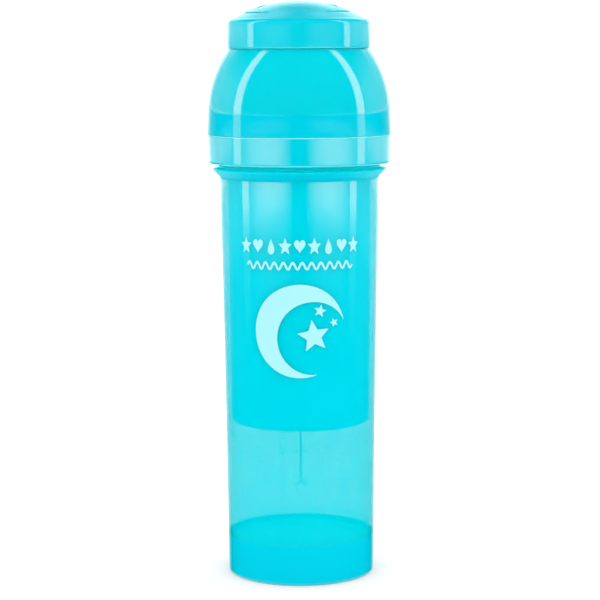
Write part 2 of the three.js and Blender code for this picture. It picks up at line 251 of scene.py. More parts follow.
def moulded(name, colour, roughness, alpha=1.0, ior=1.46, gloss=0.5, milky=0.0, grain=900, bump=0.04):
    """Moulded plastic: faint cloudiness in its colour, polish that varies, and a fine skin texture.

    milky is the depth in metres to which light wanders in it, for a wall that lets light through.
    """
    material = bpy.data.materials.new(name)
    material.use_nodes = True
    tree = material.node_tree
    shader = tree.nodes["Principled BSDF"]
    shader.inputs["IOR"].default_value = ior
    shader.inputs["Specular IOR Level"].default_value = gloss
    if milky:
        shader.inputs["Subsurface Weight"].default_value = 1
        shader.inputs["Subsurface Radius"].default_value = (1, 1, 1)
        shader.inputs["Subsurface Scale"].default_value = milky
    shader.inputs["Alpha"].default_value = alpha
    place = tree.nodes.new("ShaderNodeTexCoord")

    cloud = node(tree, "ShaderNodeTexNoise", Scale=CLOUD_SCALE, Detail=3, Roughness=0.5)
    tree.links.new(place.outputs["Object"], cloud.inputs["Vector"])
    tint = tree.nodes.new("ShaderNodeValToRGB")
    tint.color_ramp.elements[0].position = 0.3
    tint.color_ramp.elements[1].position = 0.7
    tint.color_ramp.elements[0].color = (*[c * CLOUD_SHADE for c in colour], 1)
    tint.color_ramp.elements[1].color = (*colour, 1)
    tree.links.new(cloud.outputs["Fac"], tint.inputs["Fac"])
    tree.links.new(tint.outputs["Color"], shader.inputs["Base Color"])

    stretch = node(tree, "ShaderNodeMapping", Scale=RUB_STRETCH)
    tree.links.new(place.outputs["Object"], stretch.inputs["Vector"])
    rub = node(tree, "ShaderNodeTexNoise", Scale=RUB_SCALE, Detail=6, Roughness=0.65)
    tree.links.new(stretch.outputs["Vector"], rub.inputs["Vector"])
    polish = node(tree, "ShaderNodeMapRange", From_Min=0.35, From_Max=0.75)
    polish.inputs["To Min"].default_value = roughness
    polish.inputs["To Max"].default_value = roughness + SCUFFS
    tree.links.new(rub.outputs["Fac"], polish.inputs["Value"])
    tree.links.new(polish.outputs["Result"], shader.inputs["Roughness"])

    skin = node(tree, "ShaderNodeTexNoise", Scale=grain, Detail=2, Roughness=0.4)
    tree.links.new(place.outputs["Object"], skin.inputs["Vector"])
    relief = node(tree, "ShaderNodeBump", Strength=bump, Distance=SKIN_DEPTH)
    tree.links.new(skin.outputs["Fac"], relief.inputs["Height"])
    tree.links.new(relief.outputs["Normal"], shader.inputs["Normal"])
    return material


TINT = (0.0, 0.745, 0.87)
TINT_THICK = (0.0, 0.515, 0.655)
LID_TINT = (0.0, 0.65, 0.757)
PASTEL = (0.0, 0.58, 0.68)
TINTED_OUTSIDE = moulded("tinted_outside", TINT, 0.03, alpha=0.7, ior=1.8, gloss=1.0, milky=0.004)
TINTED_INSIDE = moulded("tinted_inside", TINT, 0.05, alpha=0.18, milky=0.004)
TINTED_THICK = moulded("tinted_thick", TINT_THICK, 0.05)
TINTED_LOW = moulded("tinted_low", TINT, 0.05, alpha=0.42, milky=0.004)
# A lighter tint, for the floor's top and for the neck above the flange, where it is painted light in the
# shade under the collar.
TINTED_FLOOR_AND_PAINTED_LIGHT = moulded("tinted_floor_and_painted_light", (0.0, 0.85, 1.0), 0.3, alpha=0.96, gloss=0.1, milky=0.004)
TINTED_NECK = moulded("tinted_neck", (0.0, 0.535, 0.66), 0.3, alpha=0.98, gloss=0.1, milky=0.004)
LID_OUTSIDE = moulded("lid_outside", LID_TINT, 0.035, alpha=0.92, ior=1.8, gloss=1.0, milky=0.003)
LID_BAND = moulded("lid_band", (0.0, 0.55, 0.68), 0.035, alpha=0.97, gloss=0.75, milky=0.003)
LID_INSIDE = moulded("lid_inside", LID_TINT, 0.05, alpha=0.5, milky=0.003)
INNER_PLASTIC = moulded("inner_plastic", (0.0, 0.78, 0.96), 0.4, gloss=0.02)
NET_PLASTIC = moulded("net_plastic", (0.9, 0.93, 0.93), 0.3)
SILICONE = moulded("silicone", (0.72, 0.88, 0.92), 0.32, alpha=0.55, gloss=0.3, grain=1500, bump=0.08)
COLLAR_PLASTIC = moulded("collar_plastic", PASTEL, 0.06, ior=1.6, gloss=1.0, milky=0.0015)
# Pale faces round the outer edge of the collar's shoulder: a painted highlight, the thin bright line just
# under the lid's seam.
COLLAR_PAINTED_HIGHLIGHT = moulded("collar_painted_highlight", (0.3, 0.85, 0.95), 0.2, ior=1.6, gloss=0.8)
DISC_PLASTIC = moulded("disc_plastic", PASTEL, 0.06, ior=1.6, gloss=1.0, milky=0.0015)
# A darker copy of the disc's plastic for the faces that point up: painted shade, where the light from above
# falls most strongly.
DISC_CROWN_PAINTED_SHADE = moulded("disc_crown_painted_shade", (0.0, 0.49, 0.59), 0.08, ior=1.6, gloss=1.0, milky=0.0015)
PRINT_INK = moulded("print_ink", (0.3, 0.7, 0.78), 0.35, bump=0.1)
# The scale is print; its ink is given a dark tint as painted shade, for the shade it lies in behind the
# walls.
SCALE_INK_PAINTED_SHADE = moulded("scale_ink_painted_shade", (0.0, 0.3, 0.42), 0.5, gloss=0.2, bump=0.1)

# ---------------------------------------------------------------- bottle

BASE_RADIUS = 28.45
WALL_LEAN = 0.00734
WALL_BOW = 4.75e-5
WALL = 1.7
RECESS_RADIUS = 25.8  # of the hollow under the floor, inside the ring that the bottle stands on
NUB = 0.6  # height of the moulding mark in the middle of the floor's underside
FLOOR_TOP = 13.0
FLOOR_THICKNESS = 1.8
WALL_TOP = 155.2
FLANGE_TOP = 158.3
NECK_RADIUS = 31.25
MOUTH_RADIUS = 29.5
THREAD_LEAD = 5.0
THREAD_TURNS = 1.25
THREAD_START = 162.2
THREAD_CREST = 1.35
COLLAR_THREAD_CREST = 1.5
COLLAR_THREAD_DROP = 1.9
COLLAR_THREAD_LAG = 90.0
THREAD_BASE = 2.0
THREAD_TIP = 0.8
THREAD_FADE = 27  # degrees over which each end of a thread dies away
THREADED_FROM, THREADED_TO = 160.4, 170.6  # the stretch of the neck with rings fine enough for it


def bottle_radius(z):
    """The outside radius of the bottle's wall at a height."""
    return BASE_RADIUS + WALL_LEAN * z + WALL_BOW * z * z


def bore_radius(z):
    return bottle_radius(z) - WALL


def thread_height(angle, z, start_deg, start_z):
    """How far a thread of unit height stands out at a point of the wall, from 0 to 1."""
    tallest = 0.0
    whole = 360 * THREAD_TURNS
    for turn in range(2):
        along = (math.degrees(angle) - start_deg) % 360 + 360 * turn
        if along > whole:
            continue
        off = abs(z - start_z - THREAD_LEAD * along / 360)
        flank = (THREAD_BASE / 2 - off) / (THREAD_BASE / 2 - THREAD_TIP / 2)
        fade = min(along, whole - along) / THREAD_FADE
        tallest = max(tallest, min(1, max(0, flank)) * min(1, fade))
    return tallest


def neck_relief(r, z, angle):
    if abs(r - NECK_RADIUS) > 1e-6 or not FLANGE_TOP < z < RIM:
        return r, z
    return r + THREAD_CREST * thread_height(angle, z, 0, THREAD_START), z


def bottle_outline():
    under_floor = FLOOR_TOP - FLOOR_THICKNESS
    foot = [
        (0, under_floor - NUB),
        (1.6, under_floor - NUB, 0.3),
        (2.2, under_floor, 0.4),
        (RECESS_RADIUS - 0.2, under_floor, 2.2),
        (RECESS_RADIUS, FOOT, 0.35),
        (BASE_RADIUS, FOOT, 1.1),
    ]
    side = wall(bottle_radius, 4.5, WALL_TOP - 2, 42)
    shoulder = [
        (bottle_radius(WALL_TOP), WALL_TOP, 1.2),
        (FLANGE_RADIUS, FLANGE_TOP - 0.35, 0.12),
        (FLANGE_RADIUS, FLANGE_TOP, 0.12),
        (NECK_RADIUS, FLANGE_TOP + 0.45, 0.5),
    ]
    neck = wall(lambda z: NECK_RADIUS, THREADED_FROM, THREADED_TO, 48)
    mouth = [
        (NECK_RADIUS, RIM, 0.5),
        (MOUTH_RADIUS, RIM, 0.35),
        (bore_radius(WALL_TOP), WALL_TOP, 1),
    ]
    bore = wall(bore_radius, WALL_TOP - 4, FLOOR_TOP + 6, 30)
    floor = [(bore_radius(FLOOR_TOP), FLOOR_TOP, 3), (9, FLOOR_TOP, 3), (0, FLOOR_TOP + 0.5)]
    return rounded([*foot, *side, *shoulder, *neck, *mouth, *bore, *floor])


NECK_FROM = FLANGE_TOP + 0.05
FLANGE_FROM = WALL_TOP - 0.5
FOOT_TO_OUTSIDE, FOOT_TO_INSIDE = FLOOR_TOP + 1.1, FLOOR_TOP - 0.5
FLOOR_TO = FLOOR_TOP + 0.6
LOW_BORE_TO = FLOOR_TOP + 5


def bottle_face(r, z, normal):
    """The neck, the flange, the foot and the floor are dense; the neck above the flange and the floor's top
    have a lighter tint, on the neck as painted light in the shade under the collar. Between them the wall's
    outside has the gloss, and its bore is clearer, a little less so just above the floor."""
    outside = r > bottle_radius(z) - WALL / 2
    # Painted light: the neck under the collar lies in its shade and is given the lighter tint.
    if z > NECK_FROM:
        return TINTED_FLOOR_AND_PAINTED_LIGHT
    if z > FLANGE_FROM:
        return TINTED_NECK
    if z < (FOOT_TO_OUTSIDE if outside else FOOT_TO_INSIDE):
        return TINTED_THICK
    if z < FLOOR_TO and not outside:
        return TINTED_FLOOR_AND_PAINTED_LIGHT
    if outside:
        return TINTED_OUTSIDE
    return TINTED_LOW if z < LOW_BORE_TO else TINTED_INSIDE


def make_bottle():
    bottle = turned("bottle_shell", bottle_outline(), TINTED_OUTSIDE, neck_relief)
    materials = (TINTED_OUTSIDE, TINTED_INSIDE, TINTED_THICK, TINTED_FLOOR_AND_PAINTED_LIGHT, TINTED_NECK, TINTED_LOW)
    dress(bottle, materials, bottle_face)
    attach(bottle, "bottle")
    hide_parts("bottle_body")


# ---------------------------------------------------------------- collar

SHOULDER = 171.3
COLLAR_FOOT_RADIUS = 34.95
COLLAR_BORE = 33.25
SPIGOT_RADIUS = 33.2
SPIGOT_BORE = 31.8
COLLAR_HOLE = 27.4
COLLAR_ROOF = 1.3


def collar_relief(r, z, angle):
    if abs(r - COLLAR_BORE) > 1e-6:
        return r, z
    start_z = THREAD_START - COLLAR_THREAD_DROP + THREAD_LEAD * COLLAR_THREAD_LAG / 360
    return r - COLLAR_THREAD_CREST * thread_height(angle, z, COLLAR_THREAD_LAG, start_z), z


def collar_outline():
    outside = [
        (COLLAR_BORE, COLLAR_FOOT, 0.3),
        (COLLAR_FOOT_RADIUS, COLLAR_FOOT, 1.2),
        (COLLAR_RADIUS, SHOULDER, 0.35),
        (SPIGOT_RADIUS, SHOULDER, 0.2),
        (SPIGOT_RADIUS, SPIGOT_TOP, 0.6),
        (COLLAR_HOLE, SPIGOT_TOP, 0.3),
        (COLLAR_HOLE, SPIGOT_TOP - COLLAR_ROOF, 0.3),
        (SPIGOT_BORE, SPIGOT_TOP - COLLAR_ROOF, 0.3),
        (SPIGOT_BORE, SHOULDER - 0.2, 0.3),
    ]
    bore = wall(lambda z: COLLAR_BORE, SHOULDER - 1.3, COLLAR_FOOT + 0.25, 44)
    return rounded([*outside, *bore])


HIGHLIGHT_DEPTH = 0.3  # how far down from the shoulder its painted highlight reaches
HIGHLIGHT_FROM = SPIGOT_RADIUS + 0.6


# The outer edge of the shoulder gets the painted highlight; the rest is the collar's plastic.
def collar_face(r, z, normal):
    return COLLAR_PAINTED_HIGHLIGHT if z > SHOULDER - HIGHLIGHT_DEPTH and r > HIGHLIGHT_FROM else COLLAR_PLASTIC


def make_collar():
    collar = turned("screw_collar_shell", collar_outline(), COLLAR_PLASTIC, collar_relief)
    dress(collar, (COLLAR_PLASTIC, COLLAR_PAINTED_HIGHLIGHT), collar_face)
    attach(collar, "collar")
    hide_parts("screw_collar")


# ---------------------------------------------------------------- teat

TEAT_WALL = 1.8
TEAT_WAIST = 26.9
TEAT_BEAD = 27.9
AREOLA = (3, 176.5)  # radius and height of the centre of the areola's curve
AREOLA_CURVE = 24.1
TIP_CURVE = 7.6
FEED_HOLE_RADIUS = 0.5
VENT_RADIUS = 0.6
VENT_DEG = 20  # how high on the areola the vents are


def teat_outline():
    flange_top = TEAT_FOOT + 1.3
    bead = SPIGOT_TOP + 0.3
    tip_centre = TEAT_TIP - TIP_CURVE
    flange = [
        (TEAT_WAIST - TEAT_WALL, TEAT_FOOT, 0.4),
        (TEAT_FLANGE_RADIUS, TEAT_FOOT, 0.4),
        (TEAT_FLANGE_RADIUS, flange_top, 0.4),
        (TEAT_WAIST, flange_top, 0.25),
        (TEAT_WAIST, bead, 0.25),
        (TEAT_BEAD, bead, 0.5),
        (TEAT_BEAD, bead + 1.2, 0.6),
    ]
    outside = [
        *arc(*AREOLA, AREOLA_CURVE, 12, 60, 24),
        (11.2, 199.9, 3),
        (8.9, 203.3, 3),
        (8.2, 207),
        *arc(FEED_HOLE_RADIUS, tip_centre, TIP_CURVE, 0, 90, 16),
    ]
    inside = [
        *arc(FEED_HOLE_RADIUS, tip_centre, TIP_CURVE - TEAT_WALL, 90, 0, 14),
        (6.4, 206),
        (7.3, 202.3, 3),
        (9.8, 198.6, 3),
        *arc(*AREOLA, AREOLA_CURVE - TEAT_WALL, 60, 12, 20),
    ]
    return rounded([*flange, *outside, *inside])


def pin(radius, start, end):
    """A round bar between two points in millimetres, to cut a hole with."""
    start, end = Vector(start), Vector(end)
    bm = bmesh.new()
    length = (end - start).length * MM
    bmesh.ops.create_cone(
        bm, cap_ends=True, segments=24, radius1=radius * MM, radius2=radius * MM, depth=length
    )
    turn = (end - start).to_track_quat("Z", "Y").to_matrix().to_4x4()
    bmesh.ops.transform(bm, verts=bm.verts, matrix=Matrix.Translation((start + end) / 2 * MM) @ turn)
    return bm


def vent_pins():
    """The bars that cut an air vent low in each side of the areola."""
    rise = math.radians(VENT_DEG)
    r, z = AREOLA
    pins = []
    for side in (-1, 1):
        ends = [(side * (r + d * math.cos(rise)), 0, z + d * math.sin(rise)) for d in (20, 27)]
        pins.append(pin(VENT_RADIUS, *ends))
    return pins


def make_teat():
    skin = cut_or_joined(turned_bmesh(teat_outline()), vent_pins(), "DIFFERENCE")
    teat = finished("teat_skin", skin, SILICONE)
    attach(teat, "teat")
    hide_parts("teat")


# ---------------------------------------------------------------- lid

LID_WALL = 1.6
DOME_WAIST = 178.0
DOME_WAIST_RADIUS = 35.05
DOME_CURVE = 44.5
DOME_CURVE_TOP = 203.5
DOME_TOP = 203.9
PLUG_HOLE_RADIUS = 24.5  # of the hole in the dome's top
DOME_SPIGOT_RADIUS = 25.3
PLUG_BORE, PLUG_RADIUS = 23, 24.2  # the ring under the disc that plugs the hole
DISC_BORE = 25.6
CROWN_CURVE = 50.0
DOME_SKIN = 0.7  # how deep the faces that count as the dome's outside go
BAND_TOP = 179.8  # below it the dome grips the collar's spigot and is denser
CROWN_NORMAL = 0.45  # the disc's faces that point up more than this are its crown, which has painted shade
DISC_LEAN = 0.8  # degrees of draft on the disc's side
SIDE_ROUND = 2.1  # the radius that turns the disc's side into its crown
SEAM = 0.25  # how far the lid's parts reach into the gap below them, so that only a fine line shows


def dome_at(curve):
    """The dome's radius as a function of height, for a wall face of that curve."""
    centre = DOME_WAIST_RADIUS - DOME_CURVE
    return lambda z: centre + math.sqrt(curve**2 - (z - DOME_WAIST) ** 2)


def dome_outline():
    outer, inner = dome_at(DOME_CURVE), dome_at(DOME_CURVE - LID_WALL)
    outside = [
        (DOME_RADIUS, DOME_FOOT - SEAM, 0.12),
        *wall(outer, DOME_WAIST, DOME_CURVE_TOP, 28),
        (26.7, DOME_TOP, 0.2),
        (DOME_SPIGOT_RADIUS, DOME_TOP, 0.3),
        (DOME_SPIGOT_RADIUS, DOME_SPIGOT_TOP, 0.3),
        (PLUG_HOLE_RADIUS, DOME_SPIGOT_TOP, 0.3),
        (PLUG_HOLE_RADIUS, 202.3, 0.5),
    ]
    inside = [
        *wall(inner, 201.6, DOME_WAIST, 24),
        (DOME_RADIUS - LID_WALL, DOME_FOOT - SEAM, 0.3),
    ]
    return rounded([*outside, *inside])


def crown_at(drop):
    """The crown's height as a function of radius, for a face that far below its top."""
    return lambda r: APEX - drop - CROWN_CURVE + math.sqrt(CROWN_CURVE**2 - r**2)


def disc_outline():
    crown, ceiling = crown_at(0), crown_at(LID_WALL)
    edge = crown(25.4)
    bottom = DOME_TOP + 0.3 - SEAM
    under = [
        (0, ceiling(0)),
        *[(r, ceiling(r)) for r in (5, 10, 15, 20)],
        (PLUG_BORE, ceiling(PLUG_BORE), 0.4),
        (PLUG_BORE, PLUG_FOOT, 0.3),
        (PLUG_RADIUS, PLUG_FOOT, 0.4),
        (PLUG_RADIUS, ceiling(PLUG_RADIUS) - 0.3, 0.3),
        (DISC_BORE, ceiling(DISC_BORE) - 0.6, 0.4),
        (DISC_BORE, bottom, 0.3),
        (DISC_RADIUS, bottom, 0.7),
    ]
    side_top = edge - 1.95
    lean = (side_top - bottom) * math.tan(math.radians(DISC_LEAN))
    side = arc(DISC_RADIUS - lean - SIDE_ROUND, side_top, SIDE_ROUND, DISC_LEAN, 66, 10)
    rings = [24.6 - 0.2 * i for i in range(122)]
    return rounded([*under, *side, *[(r, crown(r)) for r in rings], (0, APEX)])


def dome_face(r, z, normal):
    outer = dome_at(DOME_CURVE)
    if r < outer(max(z, DOME_WAIST)) - DOME_SKIN:
        return LID_INSIDE
    return LID_BAND if z < BAND_TOP else LID_OUTSIDE


# Faces that point up get the darker plastic, as painted shade.
def disc_face(r, z, normal):
    return DISC_CROWN_PAINTED_SHADE if normal.z > CROWN_NORMAL else DISC_PLASTIC


def make_lid():
    dome = turned("lid_dome_shell", dome_outline(), LID_OUTSIDE)
    dress(dome, (LID_OUTSIDE, LID_INSIDE, LID_BAND), dome_face)
    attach(dome, "lid")
    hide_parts("lid_dome")
    disc = turned("lid_disc_shell", disc_outline(), DISC_PLASTIC)
    dress(disc, (DISC_PLASTIC, DISC_CROWN_PAINTED_SHADE), disc_face)
    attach(disc, "lid")
    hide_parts("lid_top_disc")


# ---------------------------------------------------------------- powder container, its lid and the net

CUP_WALL = 1.2
CUP_DIMPLE = 0.4  # how far the middle of the cup's foot is raised
CUP_FOOT_RADIUS = 26.75
CUP_TOP_RADIUS = 27.6
LEDGE_RADIUS = 25.2
LEDGE_TOP = 150.5
LEDGE_UNDERSIDE = 148.2
LID_RING_BORE, LID_RING_RADIUS = 23.8, 24.85  # the ring under the lid that plugs the container
LID_RIM = 1.4  # thickness of the lid's rim


def cup_radius(z):
    return CUP_FOOT_RADIUS + (CUP_TOP_RADIUS - CUP_FOOT_RADIUS) * (z - CUP_FOOT) / (CUP_TOP - CUP_FOOT)


def cup_outline():
    seat = CUP_TOP - 1
    return rounded(
        [
            (0, CUP_FOOT + CUP_DIMPLE),
            (18, CUP_FOOT + CUP_DIMPLE, 1),
            (20, CUP_FOOT, 1),
            (CUP_FOOT_RADIUS, CUP_FOOT, 2),
            (cup_radius(100), 100),
            (cup_radius(seat), seat, 0.3),
            (SEAT_RADIUS, seat, 0.25),
            (SEAT_RADIUS, CUP_TOP, 0.25),
            (cup_radius(CUP_TOP) - CUP_WALL, CUP_TOP, 0.4),
            (cup_radius(LEDGE_TOP) - CUP_WALL, LEDGE_TOP, 0.15),
            (LEDGE_RADIUS, LEDGE_TOP, 0.3),
            (LEDGE_RADIUS, LEDGE_TOP - 1, 0.4),
            (cup_radius(LEDGE_UNDERSIDE) - CUP_WALL, LEDGE_UNDERSIDE, 0.5),
            (cup_radius(100) - CUP_WALL, 100),
            (CUP_FOOT_RADIUS - CUP_WALL, CUP_FOOT + CUP_WALL + CUP_DIMPLE, 1.4),
            (0, CUP_FOOT + CUP_WALL + CUP_DIMPLE),
        ]
    )


def cup_lid_outline():
    under = LEDGE_TOP + 0.3
    return rounded(
        [
            (0, under),
            (LID_RING_BORE, under, 0.3),
            (LID_RING_BORE, CUP_LID_FOOT, 0.3),
            (LID_RING_RADIUS, CUP_LID_FOOT, 0.5),
            (LID_RING_RADIUS, under, 0.2),
            (CUP_LID_RADIUS, under, 0.3),
            (CUP_LID_RADIUS, under + LID_RIM, 0.4),
            (20, under + LID_RIM, 0.6),
            (19, under + 1, 0.6),
            (0, under + 1),
        ]
    )


def grip():
    """The upright tab across the container's lid, with round top corners."""
    foot = LEDGE_TOP + 0.9
    return bar((-12, -1.3, foot), (12, 1.3, CUP_LID_TOP), bevel=0.9)


NET_BORE, NET_RADIUS = 24.1, 25.2
NET_FLANGE = 0.8
NET_REACH = 24.65  # the bars end inside the net's ring
NET_PITCH = 6.0
NET_BAR = 1.3  # width of a bar
NET_BAR_HEIGHT = 1.5


def net_bars():
    """Seven bars each way across the net's ring."""
    bars = []
    for turn in (0, math.pi / 2):
        for i in range(-3, 4):
            y = NET_PITCH * i
            half = math.sqrt(NET_REACH**2 - (abs(y) + NET_BAR) ** 2)
            low = (-half, y - NET_BAR / 2, NET_FOOT)
            high = (half, y + NET_BAR / 2, NET_FOOT + NET_BAR_HEIGHT)
            bars.append(bar(low, high, 0.3, turn))
    return bars


def make_inner_pieces():
    cup = turned("powder_container_shell", cup_outline(), INNER_PLASTIC)
    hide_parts("powder_container")

    lid = cut_or_joined(turned_bmesh(cup_lid_outline()), [grip()], "UNION")
    cup_lid = finished("container_lid_shell", lid, INNER_PLASTIC)
    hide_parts("powder_container_lid")

    ring = rounded(
        [
            (NET_BORE, NET_FOOT, 0.3),
            (NET_RADIUS, NET_FOOT, 0.3),
            (NET_RADIUS, NET_TOP - NET_FLANGE, 0.2),
            (SEAT_RADIUS, NET_TOP - NET_FLANGE, 0.2),
            (SEAT_RADIUS, NET_TOP, 0.2),
            (NET_BORE, NET_TOP, 0.3),
        ]
    )
    net = cut_or_joined(turned_bmesh(ring, around=96), net_bars(), "UNION")
    mixer = finished("mixer_net_basket", net, NET_PLASTIC)
    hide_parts("mixer_net")
    for piece in (cup, cup_lid, mixer):
        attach(piece, "bottle")


# ---------------------------------------------------------------- prints and emblem

PRINT_LIFT = 0.01  # millimetres between the wall and the ink
PRINT_THICKNESS = 0.04
FRONT, BACK = 0.0, math.pi
SYMBOL_ROW, SYMBOL_PITCH, SYMBOL_STRETCH = 130.55, 5.5, 1.3
STAR_RADIUS, SYMBOL_SIZE = 2.65, 4.6
WAVE_ROW, WAVE_SPAN, WAVES = 123.3, 42.6, 12
WAVE_SWING, WAVE_HALF_WIDTH = 1.3, 0.42
MOON_HEIGHT = 98.5
STAR_WAIST = 0.46  # a star's inner radius as a share of its outer one


def circle(x, y, radius, steps=32, start=0.0, sweep=2 * math.pi):
    closed = sweep >= 2 * math.pi
    count = steps if closed else steps + 1
    angles = [start + sweep * i / steps for i in range(count)]
    return [(x + radius * math.cos(a), y + radius * math.sin(a)) for a in angles]


def star(x, y, radius, turn=0.0):
    """A five-pointed star."""
    outline = []
    for i in range(10):
        angle = math.pi / 2 + turn + math.pi * i / 5
        r = radius if i % 2 == 0 else radius * STAR_WAIST
        outline.append((x + r * math.cos(angle), y + r * math.sin(angle)))
    return outline


def crescent(x, y, radius, bite, shift, turn=0.0, steps=40):
    """A moon: a round outline with a smaller circle, shifted towards its open side, bitten out."""
    reach_x = (radius**2 - bite**2 + shift**2) / (2 * shift)
    half_y = math.sqrt(radius**2 - reach_x**2)
    back = math.atan2(half_y, reach_x)
    inner = math.atan2(half_y, reach_x - shift)
    outer = circle(0, 0, radius, steps, back, 2 * math.pi - 2 * back)
    cut = circle(shift, 0, bite, steps, 2 * math.pi - inner, 2 * inner - 2 * math.pi)
    c, s = math.cos(turn), math.sin(turn)
    return [(x + px * c - py * s, y + px * s + py * c) for px, py in [*outer, *cut[1:-1]]]


def heart(x, y, size, steps=36):
    outline = []
    for i in range(steps):
        t = 2 * math.pi * i / steps
        across = 16 * math.sin(t) ** 3
        up = 13 * math.cos(t) - 5 * math.cos(2 * t) - 2 * math.cos(3 * t) - math.cos(4 * t)
        outline.append((x + across * size / 34, y + (up + 2.5) * size / 34))
    return outline


def drop(x, y, size, steps=28):
    """A milk drop, pointed at the top."""
    outline = []
    for i in range(steps):
        t = 2 * math.pi * i / steps
        across = math.sin(t) * math.sin(t / 2) ** 1.6
        outline.append((x + across * size * 0.42, y + math.cos(t) * size / 2))
    return outline


def dash(x, y, length, height):
    """A line with round ends, lying or upright."""
    r = 0.49 * min(length, height)
    outline = []
    for i, (side_x, side_y) in enumerate(((1, 1), (-1, 1), (-1, -1), (1, -1))):
        corner_x = x + side_x * (length / 2 - r)
        corner_y = y + side_y * (height / 2 - r)
        outline += circle(corner_x, corner_y, r, 5, i * math.pi / 2, math.pi / 2)
    return outline


def ripple(span, y, swing, waves, half_width):
    """A waved line, as the outline of a ribbon."""
    upper, lower = [], []
    steps = 12 * waves
    for i in range(steps + 1):
        t = i / steps
        phase = 2 * math.pi * waves * t
        across = Vector((span, swing * 2 * math.pi * waves * math.cos(phase))).normalized() * half_width
        middle = Vector(((t - 0.5) * span, y + swing * math.sin(phase)))
        side = Vector((-across.y, across.x))
        upper.append(tuple(middle + side))
        lower.append(tuple(middle - side))
    return [*upper, *reversed(lower)]


def flat_outlines(outlines):
    """A filled flat bmesh, in millimetres, from closed outlines; one inside another is a hole."""
    curve = bpy.data.curves.new("outline", "CURVE")
    curve.dimensions = "2D"
    curve.fill_mode = "BOTH"
    for outline in outlines:
        spline = curve.splines.new("POLY")
        spline.points.add(len(outline) - 1)
        for point, (x, y) in zip(spline.points, outline):
            point.co = (x, y, 0, 1)
        spline.use_cyclic_u = True
    return flat_mesh(curve)


BOLDNESS = 0.012  # how far the figures' outlines are moved out, as a share of their size


def flat_text(body, x, y, size):
    curve = bpy.data.curves.new("figures", "FONT")
    curve.body = body
    curve.size = size
    curve.offset = BOLDNESS * size
    curve.align_x = "CENTER"
    curve.align_y = "CENTER"
    bm = flat_mesh(curve)
    bmesh.ops.translate(bm, verts=bm.verts, vec=(x, y, 0))
    return bm


def flat_mesh(curve):
    holder = bpy.data.objects.new("flat", curve)
    bpy.context.scene.collection.objects.link(holder)
    graph = bpy.context.evaluated_depsgraph_get()
    mesh = bpy.data.meshes.new_from_object(holder.evaluated_get(graph))
    bm = bmesh.new()
    bm.from_mesh(mesh)
    bpy.data.objects.remove(holder)
    bpy.data.curves.remove(curve)
    bpy.data.meshes.remove(mesh)
    bmesh.ops.remove_doubles(bm, verts=bm.verts, dist=1e-4)
    return bm


def merged(parts):
    whole = bmesh.new()
    for part in parts:
        mesh = bpy.data.meshes.new("part")
        part.to_mesh(mesh)
        part.free()
        whole.from_mesh(mesh)
        bpy.data.meshes.remove(mesh)
    return whole


CELL = 1.0  # width of the cells that a flat shape is cut into; they are twice as tall
OFF_CORNERS = 1e-3  # keeps a cut off the shape's own corners


def raised(name, flat, place, thickness, material):
    """A flat shape cut into small cells, given a thickness, and laid on a surface by place(x, y, lift)."""
    xs = [v.co.x for v in flat.verts]
    ys = [v.co.y for v in flat.verts]
    for axis, values in ((0, xs), (1, ys)):
        at = math.ceil(min(values) / CELL) * CELL
        step = CELL if axis == 0 else 2 * CELL
        while at < max(values):
            normal = [0, 0, 0]
            normal[axis] = 1
            middle = [0, 0, 0]
            middle[axis] = at + OFF_CORNERS
            geometry = [*flat.verts, *flat.edges, *flat.faces]
            bmesh.ops.bisect_plane(flat, geom=geometry, plane_co=middle, plane_no=normal)
            at += step
    top = bmesh.ops.extrude_face_region(flat, geom=flat.faces[:], use_keep_orig=True)
    for v in (g for g in top["geom"] if isinstance(g, bmesh.types.BMVert)):
        v.co.z = thickness
    for v in flat.verts:
        v.co = Vector(place(*v.co)) * MM
    return finished(name, flat, material)


def on_wall(turn):
    """Places a point across and up the bottle's wall, on the side at that turn from the front."""

    def place(x, z, lift):
        angle = x / bottle_radius(z) + turn
        r = bottle_radius(z) + PRINT_LIFT + lift
        return r * math.sin(angle), -r * math.cos(angle), z

    return place


def printed(name, flat, turn, ink_material=PRINT_INK):
    ink = raised(name, flat, on_wall(turn), PRINT_THICKNESS, ink_material)
    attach(ink, "bottle")


def make_front_print():
    symbols = []
    makers = (star, heart, drop, star, heart, star, drop, heart, star)
    for i, maker in enumerate(makers):
        x = (i - (len(makers) - 1) / 2) * SYMBOL_PITCH
        outline = maker(x, 0, STAR_RADIUS if maker is star else SYMBOL_SIZE)
        symbols.append([(px, SYMBOL_ROW + py * SYMBOL_STRETCH) for px, py in outline])
    printed("print_symbol_row", flat_outlines(symbols), FRONT)
    wave = ripple(WAVE_SPAN, WAVE_ROW, WAVE_SWING, WAVES, WAVE_HALF_WIDTH)
    printed("print_wave_row", flat_outlines([wave]), FRONT)

    moon = [crescent(0, MOON_HEIGHT, 17.8, 13.9, 5.8, math.radians(-28))]
    moon.append(star(5.2, 96.6, 6.4, turn=math.radians(8)))
    moon.append(star(7.6, 106.2, 2.5, turn=math.radians(-14)))
    moon.append(star(13.2, 101.6, 1.8, turn=math.radians(20)))
    printed("print_moon", flat_outlines(moon), FRONT)


ML_PER_MARK = 30
FIRST_MARK = 27.6  # height of the 30 ml mark
MARK_PITCH = 13.1
MARKS = 10
LINE_WIDTH = 0.7
MARK_WIDTH, SHORT_MARK_WIDTH = 0.8, 0.5
FIGURES_AT, FIGURE_SIZE, UNIT_SIZE = 7.4, 3.5, 3.8


